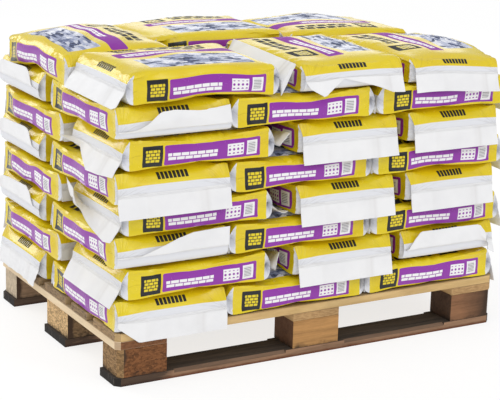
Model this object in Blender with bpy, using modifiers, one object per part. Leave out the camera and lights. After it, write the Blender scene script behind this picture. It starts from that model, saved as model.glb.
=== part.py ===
"""A wooden pallet of 1200 x 800 mm that carries forty-eight filled plastic sacks in eight layers of six.

Frame: metres, +Z up, the origin on the floor under the middle of the load. +X runs along the pallet's
long side and -Y is its front. A sack is modelled lying along X, its base at z = 0, then turned and placed.
"""

import bmesh
import bpy
from mathutils import Matrix, Vector

MM = 0.001
GAP = 0.3 * MM  # left between pieces that rest on each other

# Pallet timber, all measured across the finished board
PALLET_LENGTH = 1200 * MM
PALLET_DEPTH = 800 * MM
BOARD_THICK = 22 * MM
WIDE_BOARD = 145 * MM
NARROW_BOARD = 100 * MM
BLOCK_HEIGHT = 78 * MM
BLOCK_SLACK = 0.5 * MM  # a block is this much narrower than its runner, on each side
BLOCK_SETBACK = {-1: 8 * MM, 0: 0.0, 1: 3 * MM}  # how far an end block sits inside its runner's end
CORNER_CUT = 14 * MM  # 45 degree cut on the pallet's four upright corners
EDGE_EASE = 1.2 * MM
RUNNER_CHAMFER = 8 * MM  # for a truck's wheels, on a runner's upper edges between the blocks
CHAMFER_STOP = 22 * MM  # the chamfer ends this far from a block
JOINT_GROOVE = 1.4 * MM  # the seam between a block and its runner: its depth and height

RUNNER_TOP = BOARD_THICK
BLOCK_TOP = RUNNER_TOP + BLOCK_HEIGHT
STRINGER_TOP = BLOCK_TOP + BOARD_THICK
DECK_TOP = STRINGER_TOP + BOARD_THICK
END_BLOCK_X = (PALLET_LENGTH - WIDE_BOARD) / 2
DECK_WIDTHS = (WIDE_BOARD, NARROW_BOARD, WIDE_BOARD, NARROW_BOARD, WIDE_BOARD)
SKIDS = {"front": (-1, NARROW_BOARD), "middle": (0, WIDE_BOARD), "back": (1, NARROW_BOARD)}
STRINGERS = {"left": -1, "middle": 0, "right": 1}

# One filled sack
SACK_WIDTH = 320 * MM
SACK_HEIGHT = 84 * MM
BODY_HALF_LENGTH = 217.5 * MM  # to the welded seam
SHOULDER_RADIUS = 24 * MM
SEAM_HEIGHT = SACK_HEIGHT / 2  # of the end seam above the sack's base
SEAM_TAPER = ((0 * MM, 0.12, 0.97), (4 * MM, 0.5, 0.975), (17 * MM, 0.82, 0.985), (56 * MM, 1.0, 1.0))
# distance in from the seam, then the share of the full height and of the full width there

# The unfilled film past each end seam, which hangs down as a fin
FIN_INNER = 215.7 * MM
FIN_OUTER = 220 * MM
FIN_WIDTH = 300 * MM
FIN_TOP = SEAM_HEIGHT + 3.5 * MM
FREE_FIN_LOW = -34 * MM  # on the outside of the load it hangs past the sack's base
DECK_FIN_LOW = -20 * MM  # the same in the first layer, where it hangs over the pallet's edge
TUCKED_FIN_LOW = 3 * MM  # inside the load it stops at the sack below

# The load: even layers are the odd ones mirrored front to back, apart from two sacks that lie further in
LAYERS = 8
LAYER_PITCH = SACK_HEIGHT + GAP
SIDE_FACE_X = 600 * MM
SIDE_FACE_Y = 400 * MM
FIN_FACE_X = 606 * MM
FIN_FACE_Y = 406 * MM
INNER_SACK_X = -57.5 * MM  # middle of the sack that has both ends inside the load
PAIR_X = (82 * MM, 424 * MM)  # middles of the two sacks that lie side by side across the load
EVEN_FRONT_INSET = 20 * MM  # how far in the front left sack of an even layer lies, on the sack below it
EVEN_BACK_INSET = {4: 10 * MM, 6: 28 * MM, 8: 45 * MM}  # the same of the back left sack, by layer

YELLOW_FILM = ((0.83, 0.60, 0.03, 1.0), 0.32)
FRESH_WOOD = ((0.62, 0.47, 0.29, 1.0), 0.85)
PALE_WOOD = ((0.70, 0.62, 0.50, 1.0), 0.85)
WEATHERED_WOOD = ((0.22, 0.17, 0.13, 1.0), 0.9)


def clear_scene():
    for obj in list(bpy.data.objects):
        bpy.data.objects.remove(obj, do_unlink=True)


def new_collection(name):
    collection = bpy.data.collections.new(name)
    bpy.context.scene.collection.children.link(collection)
    return collection


def new_material(name, look):
    color, roughness = look
    material = bpy.data.materials.new(name)
    material.use_nodes = True
    shader = material.node_tree.nodes["Principled BSDF"]
    shader.inputs["Base Color"].default_value = color
    shader.inputs["Roughness"].default_value = roughness
    shader.inputs["Metallic"].default_value = 0.0
    material.diffuse_color = color
    return material


def new_object(name, mesh, collection, material=None):
    obj = bpy.data.objects.new(name, mesh)
    collection.objects.link(obj)
    if material and not mesh.materials:
        mesh.materials.append(material)
    return obj


def hide_cutter(obj):
    obj.hide_render = True
    obj.display_type = "WIRE"


def box_mesh(name, size, middle, turn=Matrix()):
    """A cuboid, turned about its own middle and then moved there."""
    mesh = bpy.data.meshes.new(name)
    bm = bmesh.new()
    place = Matrix.Translation(middle) @ turn @ Matrix.Diagonal((*size, 1.0))
    bmesh.ops.create_cube(bm, size=1.0, matrix=place)
    bm.to_mesh(mesh)
    bm.free()
    return mesh


def outline_mesh(name, outlines, low, high):
    """Flat outlines in plan, filled between z = low and z = high. An outline inside another is a hole."""
    curve = bpy.data.curves.new(name, "CURVE")
    curve.dimensions = "2D"
    curve.fill_mode = "BOTH"
    curve.extrude = (high - low) / 2
    for points in outlines:
        spline = curve.splines.new("POLY")
        spline.points.add(len(points) - 1)
        for point, (x, y) in zip(spline.points, points):
            point.co = (x, y, 0, 1)
        spline.use_cyclic_u = True
    guide = bpy.data.objects.new(name, curve)
    bpy.context.scene.collection.objects.link(guide)
    evaluated = guide.evaluated_get(bpy.context.evaluated_depsgraph_get())
    mesh = bpy.data.meshes.new_from_object(evaluated)
    bpy.data.objects.remove(guide, do_unlink=True)
    bm = bmesh.new()
    bm.from_mesh(mesh)
    bmesh.ops.remove_doubles(bm, verts=bm.verts, dist=0.01 * MM)
    bmesh.ops.translate(bm, verts=bm.verts, vec=(0, 0, (low + high) / 2))
    bmesh.ops.recalc_face_normals(bm, faces=bm.faces)
    bm.to_mesh(mesh)
    bm.free()
    return mesh


def cut_corner_rectangle(x_low, x_high, y_low, y_high):
    """A rectangle whose corners are cut off where they lie on the pallet's own upright corners."""
    points = []
    corners = ((x_low, y_low), (x_high, y_low), (x_high, y_high), (x_low, y_high))
    for index, (x, y) in enumerate(corners):
        at_corner = abs(x) > PALLET_LENGTH / 2 - 10 * MM and abs(y) > PALLET_DEPTH / 2 - 2 * MM
        if not at_corner:
            points.append((x, y))
            continue
        inward_x = (x - CORNER_CUT if x > 0 else x + CORNER_CUT, y)
        inward_y = (x, y - CORNER_CUT if y > 0 else y + CORNER_CUT)
        points.extend((inward_y, inward_x) if index % 2 == 0 else (inward_x, inward_y))
    return points


def ease_edges(obj):
    bevel = obj.modifiers.new("eased edges", "BEVEL")
    bevel.width = EDGE_EASE
    bevel.segments = 1
    bevel.limit_method = "ANGLE"
    bevel.angle_limit = 0.7


def add_board(name, x_range, y_range, z_range, collection, material):
    outline = cut_corner_rectangle(*x_range, *y_range)
    board = new_object(name, outline_mesh(name, [outline], *z_range), collection, material)
    ease_edges(board)


def add_deck_boards(collection, material):
    spacing = (PALLET_DEPTH - sum(DECK_WIDTHS)) / (len(DECK_WIDTHS) - 1)
    y_low = -PALLET_DEPTH / 2
    for index, width in enumerate(DECK_WIDTHS, start=1):
        x_range = (-PALLET_LENGTH / 2, PALLET_LENGTH / 2)
        y_range = (y_low, y_low + width)
        z_range = (STRINGER_TOP + GAP, DECK_TOP)
        add_board(f"deck_board_{index}", x_range, y_range, z_range, collection, material)
        y_low += width + spacing


def add_stringer_boards(collection, material):
    for label, side in STRINGERS.items():
        x_middle = side * END_BLOCK_X
        x_range = (x_middle - WIDE_BOARD / 2, x_middle + WIDE_BOARD / 2)
        y_range = (-PALLET_DEPTH / 2, PALLET_DEPTH / 2)
        z_range = (BLOCK_TOP + GAP, STRINGER_TOP)
        add_board(f"stringer_board_{label}", x_range, y_range, z_range, collection, material)


def block_ranges(side, y_middle, width):
    """Plan extent of the block at one end (side -1 or 1) or in the middle (0) of a runner."""
    outer = side * PALLET_LENGTH / 2 - side * BLOCK_SETBACK[side]
    inner = side * (PALLET_LENGTH / 2 - WIDE_BOARD)
    if side == 0:
        outer, inner = -WIDE_BOARD / 2, WIDE_BOARD / 2
    half = width / 2 - BLOCK_SLACK
    return (min(outer, inner), max(outer, inner)), (y_middle - half, y_middle + half)


def rectangle(x_range, y_range, grow):
    x_low, x_high = x_range[0] - grow, x_range[1] + grow
    y_low, y_high = y_range[0] - grow, y_range[1] + grow
    return [(x_low, y_low), (x_high, y_low), (x_high, y_high), (x_low, y_high)]


def boolean(target, other, operation):
    modifier = target.modifiers.new(other.name, "BOOLEAN")
    modifier.operation = operation
    modifier.solver = "EXACT"
    modifier.object = other


def add_runner_chamfers(skid, y_middle, width, cutters):
    """Square bars turned by 45 degrees, on the runner's two upper edges in each bay between the blocks."""
    bar = RUNNER_CHAMFER * 2**0.5
    bay_low = WIDE_BOARD / 2 + CHAMFER_STOP
    bay_high = PALLET_LENGTH / 2 - WIDE_BOARD - CHAMFER_STOP
    turn = Matrix.Rotation(0.7853981634, 4, "X")
    for bay in (-1, 1):
        for edge in (-1, 1):
            middle = Vector((bay * (bay_low + bay_high) / 2, y_middle + edge * width / 2, RUNNER_TOP))
            name = f"{skid.name}_chamfer_{bay}_{edge}"
            mesh = box_mesh(name, (bay_high - bay_low, bar, bar), middle, turn)
            cutter = new_object(name, mesh, cutters)
            hide_cutter(cutter)
            boolean(skid, cutter, "DIFFERENCE")


def add_skids(collection, cutters, material):
    """Each skid is a bottom runner with its three blocks. A groove marks the seam under each block."""
    for label, (side, width) in SKIDS.items():
        y_middle = side * (PALLET_DEPTH - width) / 2
        name = f"skid_{label}"
        runner_x = (-PALLET_LENGTH / 2, PALLET_LENGTH / 2)
        runner_y = (y_middle - width / 2, y_middle + width / 2)
        runner = outline_mesh(name, [cut_corner_rectangle(*runner_x, *runner_y)], 0.0, RUNNER_TOP)
        skid = new_object(name, runner, collection, material)
        for end in (-1, 0, 1):
            x_range, y_range = block_ranges(end, y_middle, width)
            block_name = f"{name}_block_{end}"
            outline = cut_corner_rectangle(*x_range, *y_range)
            block_mesh = outline_mesh(block_name, [outline], RUNNER_TOP / 2, BLOCK_TOP)
            block = new_object(block_name, block_mesh, cutters)
            hide_cutter(block)
            boolean(skid, block, "UNION")
            ring = [rectangle(x_range, y_range, 6 * MM), rectangle(x_range, y_range, -JOINT_GROOVE)]
            groove_name = f"{name}_seam_{end}"
            groove_mesh = outline_mesh(groove_name, ring, RUNNER_TOP, RUNNER_TOP + JOINT_GROOVE)
            groove = new_object(groove_name, groove_mesh, cutters)
            hide_cutter(groove)
            boolean(skid, groove, "DIFFERENCE")
        add_runner_chamfers(skid, y_middle, width, cutters)


def taper_at(inward):
    """(share of height, share of width) of a sack at this distance in from its end seam."""
    for (near, height_a, width_a), (far, height_b, width_b) in zip(SEAM_TAPER, SEAM_TAPER[1:]):
        if inward <= far:
            t = (inward - near) / (far - near)
            return height_a + t * (height_b - height_a), width_a + t * (width_b - width_a)
    return SEAM_TAPER[-1][1:]


def sack_body_mesh(name):
    """A box with rounded long edges, drawn down to the seam line at both ends."""
    bm = bmesh.new()
    size = (2 * BODY_HALF_LENGTH, SACK_WIDTH, SACK_HEIGHT)
    place = Matrix.Translation((0, 0, SACK_HEIGHT / 2)) @ Matrix.Diagonal((*size, 1.0))
    bmesh.ops.create_cube(bm, size=1.0, matrix=place)
    long_edges = [edge for edge in bm.edges if abs(edge.verts[0].co.x - edge.verts[1].co.x) > MM]
    bmesh.ops.bevel(
        bm,
        geom=long_edges,
        offset=SHOULDER_RADIUS,
        offset_type="OFFSET",
        segments=2,
        profile=0.5,
        affect="EDGES",
    )
    for inward, _, _ in SEAM_TAPER[1:]:
        for end in (-1, 1):
            everything = bm.verts[:] + bm.edges[:] + bm.faces[:]
            cut = (end * (BODY_HALF_LENGTH - inward), 0, 0)
            bmesh.ops.bisect_plane(bm, geom=everything, plane_co=cut, plane_no=(1, 0, 0), dist=0.01 * MM)
    for vert in bm.verts:
        height_share, width_share = taper_at(BODY_HALF_LENGTH - abs(vert.co.x))
        vert.co.z = SEAM_HEIGHT + (vert.co.z - SEAM_HEIGHT) * height_share
        vert.co.y *= width_share
    mesh = bpy.data.meshes.new(name)
    bm.to_mesh(mesh)
    bm.free()
    return mesh


def sack_mesh(name, fin_lows, cutters, material):
    """One sack: its body joined to the fin at each end. fin_lows gives the fins' lower edges at -X and +X."""
    body = new_object(name, sack_body_mesh(name), cutters, material)
    for end, low in zip((-1, 1), fin_lows):
        size = (FIN_OUTER - FIN_INNER, FIN_WIDTH, FIN_TOP - low)
        middle = Vector((end * (FIN_INNER + FIN_OUTER) / 2, 0, (FIN_TOP + low) / 2))
        fin_name = f"{name}_fin_{end}"
        fin = new_object(fin_name, box_mesh(fin_name, size, middle), cutters)
        hide_cutter(fin)
        boolean(body, fin, "UNION")
    evaluated = body.evaluated_get(bpy.context.evaluated_depsgraph_get())
    mesh = bpy.data.meshes.new_from_object(evaluated)
    bpy.data.objects.remove(body, do_unlink=True)
    mesh.shade_smooth()
    mesh.set_sharp_from_angle(angle=0.6)
    return mesh


def layer_places(layer):
    """(has a free end, middle x, middle y, turn about Z in degrees) of each sack, laid as in an odd layer.

    A sack with a free end has it at its own -X, which the turn points outwards. A sack that lies further in
    has no free end.
    """
    along_x = FIN_FACE_X - FIN_OUTER
    along_y = FIN_FACE_Y - FIN_OUTER
    side_x = SIDE_FACE_X - SACK_WIDTH / 2
    side_y = SIDE_FACE_Y - SACK_WIDTH / 2
    first_inset = EVEN_BACK_INSET.get(layer, 0.0)
    fourth_inset = EVEN_FRONT_INSET if layer % 2 == 0 else 0.0
    return (
        (not first_inset, -side_x, first_inset - along_y, 90),
        (False, INNER_SACK_X, -side_y, 0),
        (True, along_x, -side_y, 180),
        (not fourth_inset, fourth_inset - along_x, side_y, 0),
        (True, PAIR_X[0], along_y, -90),
        (True, PAIR_X[1], along_y, -90),
    )


def add_sacks(collection, cutters, material):
    tucked = sack_mesh("sack_tucked_in", (TUCKED_FIN_LOW, TUCKED_FIN_LOW), cutters, material)
    on_deck = sack_mesh("sack_over_deck_edge", (DECK_FIN_LOW, TUCKED_FIN_LOW), cutters, material)
    stacked = sack_mesh("sack_with_free_end", (FREE_FIN_LOW, TUCKED_FIN_LOW), cutters, material)
    for layer in range(1, LAYERS + 1):
        flip = 1 if layer % 2 else -1
        base = DECK_TOP + GAP + (layer - 1) * LAYER_PITCH
        free = on_deck if layer == 1 else stacked
        for number, (has_free_end, x, y, turn) in enumerate(layer_places(layer), start=1):
            sack = new_object(f"sack_{layer}_{number}", free if has_free_end else tucked, collection)
            sack.location = (x, flip * y, base)
            sack.rotation_euler = (0, 0, flip * turn * 3.141592653589793 / 180)


def main():
    clear_scene()
    collection = new_collection("pallet_of_sacks")
    cutters = new_collection("cutters")
    add_deck_boards(collection, new_material("deck wood", FRESH_WOOD))
    add_stringer_boards(collection, new_material("pale wood", PALE_WOOD))
    add_skids(collection, cutters, new_material("weathered wood", WEATHERED_WOOD))
    add_sacks(collection, cutters, new_material("yellow film", YELLOW_FILM))


main()
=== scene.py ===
import math
from dataclasses import dataclass

import bpy
import numpy as np
from mathutils import Matrix, Vector


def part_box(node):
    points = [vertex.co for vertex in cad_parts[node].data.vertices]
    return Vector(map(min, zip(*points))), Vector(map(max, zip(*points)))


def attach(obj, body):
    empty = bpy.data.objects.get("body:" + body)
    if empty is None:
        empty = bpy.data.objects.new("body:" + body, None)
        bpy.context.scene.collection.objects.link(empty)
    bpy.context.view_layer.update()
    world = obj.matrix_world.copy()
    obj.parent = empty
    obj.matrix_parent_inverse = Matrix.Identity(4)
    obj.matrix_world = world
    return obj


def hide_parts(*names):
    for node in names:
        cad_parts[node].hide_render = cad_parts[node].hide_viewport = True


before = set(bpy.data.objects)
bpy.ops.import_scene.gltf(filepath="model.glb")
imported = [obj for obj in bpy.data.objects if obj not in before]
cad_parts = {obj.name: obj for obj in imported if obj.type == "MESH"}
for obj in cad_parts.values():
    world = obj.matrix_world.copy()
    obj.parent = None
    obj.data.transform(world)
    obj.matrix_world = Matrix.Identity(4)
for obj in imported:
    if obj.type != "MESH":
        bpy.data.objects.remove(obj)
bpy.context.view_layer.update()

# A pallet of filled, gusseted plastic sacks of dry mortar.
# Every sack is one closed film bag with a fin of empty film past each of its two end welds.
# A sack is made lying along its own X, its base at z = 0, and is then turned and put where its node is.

MM = 0.001

# The load
LAYERS = 8
SACKS_IN_LAYER = 6
DECK_TOP = 144 * MM
GAP = 0.3 * MM  # the CAD leaves this much between pieces that rest on each other
LAYER_PITCH = 84.3 * MM
SACK_TURNS = {1: 90, 2: 0, 3: 180, 4: 0, 5: -90, 6: -90}  # in odd layers; the even ones turn the other way

# One sack
SACK_WIDTH = 320 * MM
SACK_HEIGHT = 84 * MM
SEAM_X = 219 * MM  # half its length, to the end weld
SEAM_HALF_WIDTH = 153 * MM
GUSSET_DEPTH = 40 * MM
FIN_LENGTH = 57 * MM
FIN_THICK = 1.4 * MM
TOP_STEPS = 38
SIDE_STEPS = 12
FIN_STEPS = 12
BODY_STEP = 8.4 * MM
HALF_TOP = TOP_STEPS // 2
SIDE_PLACES = tuple(  # the first and last ring point of each side
    (first, first + SIDE_STEPS) for first in (HALF_TOP, HALF_TOP + SIDE_STEPS + TOP_STEPS)
)
END_STATIONS = (0.0, 1.2, 3.2, 6.4, 10.5, 14.5, 18.0, 22.5, 30.0, 38.0, 46.0, 54.0)  # mm in from the weld
GUSSET_STATION = 6  # the sides fold in from here to the weld
GUSSET_REACH = END_STATIONS[GUSSET_STATION] * MM
END_SLOPE = (  # mm in from the weld, and how far the top has risen from the weld's height to the full height
    (0, 0), (1.2, 0.30), (3.2, 0.40), (10, 0.55), (20, 0.74), (30, 0.87), (40, 0.95), (50, 0.985), (66, 1.0),
)
SHOULDER_SLOPE = (  # the same along the shoulders, which stay full as far as the gusset's fold
    (0, 0), (1.2, 0.24), (3.2, 0.35), (6.4, 0.50), (10.5, 0.68), (14.5, 0.84), (18, 0.96), (30, 0.99),
    (66, 1.0),
)
WIDEST = 164 * MM  # half its width over the shoulders
FOLD_SHARE = 0.42  # how much of the way from the weld's width to the widest is reached at the gusset's fold
FOLD_RISE = 95 * MM  # how far in from the weld the gusset's mid line reaches its full height
FOOT_REACH = 30 * MM  # how far in the bottom is down on the sack below
SIDE_CREASE = 4 * MM  # the crease along the middle of the side: its depth and reach
CREASE_REACH = 80 * MM
BULGE = 8 * MM  # of the side where it is full
FULL_FROM = 100 * MM  # how far in the sack is full
SHARP_CUT = 1.5  # mm, the rounding of its folds at the weld
FOLD_CUT = 26  # mm, the rounding of its mid line and its foot where it is full
FOOT_CUT = 22


def mix(a, b, t):
    return a + (b - a) * t


def smooth(t):
    t = np.clip(t, 0.0, 1.0)
    return t * t * (3 - 2 * t)


# Sections of a sack

def bezier(start, corner, end, count=9):
    t = np.linspace(0.0, 1.0, count)[:, None]
    return (1 - t) ** 2 * start + 2 * t * (1 - t) * corner + t * t * end


def resample(points, fractions):
    """Points at these fractions of a polyline's length."""
    steps = np.linalg.norm(np.diff(points, axis=0), axis=1)
    along = np.concatenate(([0.0], np.cumsum(steps)))
    wanted = np.asarray(fractions) * along[-1]
    return np.stack([np.interp(wanted, along, points[:, k]) for k in range(points.shape[1])], axis=1)


def rounded_corner(before, corner, after, cut):
    """A Bezier that cuts the corner, and never takes more than 48% of either side."""
    to_before = before - corner
    to_after = after - corner
    long_before = np.linalg.norm(to_before)
    long_after = np.linalg.norm(to_after)
    cut_before = min(cut, 0.48 * long_before)
    cut_after = min(cut, 0.48 * long_after)
    start = corner + to_before / long_before * cut_before
    end = corner + to_after / long_after * cut_after
    return bezier(start, corner, end)


def half_section(half_width, z_top, z_bottom, z_fold, depth, cuts):
    """(y, z) from the middle of the top round one side to the middle of the bottom, as three panels."""
    top_middle = np.array([0.0, z_top])
    shoulder = np.array([half_width, z_top])
    fold = np.array([half_width - depth, z_fold])
    foot = np.array([half_width, z_bottom])
    bottom_middle = np.array([0.0, z_bottom])
    at_shoulder = rounded_corner(top_middle, shoulder, fold, cuts[0])
    at_fold = rounded_corner(shoulder, fold, foot, cuts[1])
    at_foot = rounded_corner(fold, foot, bottom_middle, cuts[2])
    middle = len(at_shoulder) // 2
    top = np.vstack((top_middle, at_shoulder[: middle + 1]))
    side = np.vstack((at_shoulder[middle:], at_fold, at_foot[: middle + 1]))
    bottom = np.vstack((at_foot[middle:], bottom_middle))
    return top, side, bottom


def section(half_width, z_top, z_bottom, z_fold, depth, cuts):
    """The closed ring, from the bottom's middle up the -Y side, over the top and down the +Y side."""
    top, side, bottom = half_section(half_width, z_top, z_bottom, z_fold, depth, cuts)
    top = resample(top, np.linspace(0, 1, HALF_TOP + 1))
    side = resample(side, np.linspace(0, 1, SIDE_STEPS + 1))
    bottom = resample(bottom, np.linspace(0, 1, HALF_TOP + 1))
    right = np.vstack((top[:-1], side[:-1], bottom))
    left = right[::-1] * np.array([-1.0, 1.0])
    return np.vstack((left[:-1], right[:-1]))


def ring_films():
    """Where each ring point lies round the flat tube of film, in metres, 0 at the middle of the top."""
    top = np.linspace(0, SACK_WIDTH / 2, HALF_TOP + 1)
    side = np.linspace(0, SACK_HEIGHT, SIDE_STEPS + 1) + top[-1]
    bottom = np.linspace(0, SACK_WIDTH / 2, HALF_TOP + 1) + side[-1]
    right = np.concatenate((top[:-1], side[:-1], bottom))
    return np.concatenate((-right[::-1][:-1], right[:-1]))


def drawn_in(distance, reach, power, root):
    """0 at the weld, 1 from reach inwards, steep near the weld."""
    t = np.clip(distance / reach, 0.0, 1.0)
    return (1 - (1 - t) ** power) ** root


def full_shoulders(ring, inward, z_fold, z_top):
    """Near the end the top is lower in its middle than along its shoulders."""
    risen = np.interp(inward / MM, *zip(*SHOULDER_SLOPE))
    z_shoulder = z_fold + FIN_THICK / 2 + (SACK_HEIGHT - z_fold - FIN_THICK / 2) * risen
    to_side = smooth((np.abs(ring[:, 0]) / (SACK_WIDTH / 2) - 0.45) / 0.48)
    share = np.clip((ring[:, 1] - z_fold) / (z_top - z_fold), 0, 1)
    ring[:, 1] += (z_shoulder - z_top) * to_side * share
    return ring


def body_section(x, welds, shoulder):
    """The ring of the filled sack at x. welds gives each weld's height and half width, at -X and at +X."""
    inward = SEAM_X - abs(x)
    seam_z, seam_half = welds[0] if x < 0 else welds[1]
    least = FIN_THICK / 2
    z_fold = mix(seam_z, SACK_HEIGHT * 0.47, smooth(inward / FOLD_RISE))
    risen = np.interp(inward / MM, *zip(*END_SLOPE))
    z_top = z_fold + least + (SACK_HEIGHT - z_fold - least) * risen
    z_bottom = z_fold - least - (z_fold - least) * drawn_in(inward, FOOT_REACH, 2.4, 0.34)
    depth = (GUSSET_DEPTH - SIDE_CREASE) * max(0.0, 1 - inward / GUSSET_REACH)
    depth += SIDE_CREASE * (1 - smooth(inward / CREASE_REACH))
    swell = math.sin(math.pi / 2 * min(1.0, max(0.0, inward - GUSSET_REACH) / FULL_FROM))
    bulge = BULGE * swell
    widened = FOLD_SHARE * min(1.0, inward / GUSSET_REACH) + (1 - FOLD_SHARE) * swell
    half_width = mix(seam_half, WIDEST, widened)
    full = min(1.0, inward / FULL_FROM)
    fold_cut = mix(SHARP_CUT, FOLD_CUT, smooth((inward - 45 * MM) / (70 * MM)))
    cuts = (mix(SHARP_CUT, shoulder, full) * MM, fold_cut * MM, mix(SHARP_CUT, FOOT_CUT, full) * MM)
    ring = section(half_width, z_top, z_bottom, z_fold, depth - bulge, cuts)
    return full_shoulders(ring, inward, z_fold, z_top)


def body_stations():
    ends = [SEAM_X - inward * MM for inward in END_STATIONS]
    count = int(round(2 * ends[-1] / BODY_STEP))
    inner = np.linspace(-ends[-1], ends[-1], count + 1)[1:-1]
    return np.concatenate(([-x for x in ends], inner, ends[::-1]))


def body_rings(welds, shoulder):
    """The filled sack's rings, from -X to +X."""
    sections = [(x, body_section(x, welds, shoulder)) for x in body_stations()]
    return [np.column_stack((np.full(len(yz), x), yz)) for x, yz in sections]


def ring_quads(stations, around):
    """The faces between neighbouring rings."""
    return [
        (i + j, i + (j + 1) % around, i + around + (j + 1) % around, i + around + j)
        for i in range(0, (stations - 1) * around, around)
        for j in range(around)
    ]


# Fins, first laid flat: w across, b out from the weld, n off the sheet towards its outer face

STEEP = -84  # degrees, the way every fin leaves its weld
BEND_STEPS = 24
HEM = 14 * MM  # how far out from the weld the gusset's film is still tucked in


def folded(points, line, degrees, radius=2.5 * MM):
    """Folds the flat sheet about a line. What is to the right of it turns, outwards if degrees > 0."""
    (w0, b0), (w1, b1) = line
    along = np.array([w1 - w0, b1 - b0])
    along = along / np.linalg.norm(along)
    across = np.array([along[1], -along[0]])
    rel = points[:, :2] - np.array([w0, b0])
    s = rel @ across
    t = rel @ along
    angle = math.radians(abs(degrees))
    sign = 1.0 if degrees > 0 else -1.0
    reached = np.clip(s / radius, 0.0, angle)
    rest = np.maximum(s - radius * angle, 0.0)
    n = points[:, 2]
    new_s = np.where(s > 0, radius * np.sin(reached) + rest * np.cos(reached), s)
    new_n = np.where(s > 0, radius * (1 - np.cos(reached)) + rest * np.sin(reached), 0.0) * sign
    new_s = new_s - n * np.sin(reached) * sign * (s > 0)
    new_n = new_n + n * np.where(s > 0, np.cos(reached), 1.0)
    flat = np.array([w0, b0]) + np.outer(t, along) + np.outer(new_s, across)
    return np.column_stack((flat, new_n))


def crumple_waves(a, b, rng, low=18 * MM, high=48 * MM):
    """Unevenness with sharp creases, about -1 to 1, at places (a, b) on a sheet."""
    total = np.zeros_like(a)
    for _ in range(4):
        turn = rng.uniform(0, math.pi)
        t = (a * math.cos(turn) + b * math.sin(turn)) / rng.uniform(low, high) + rng.uniform(0, 1)
        total += np.abs(2 * (t - np.floor(t)) - 1) - 0.5
    return total


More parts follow.
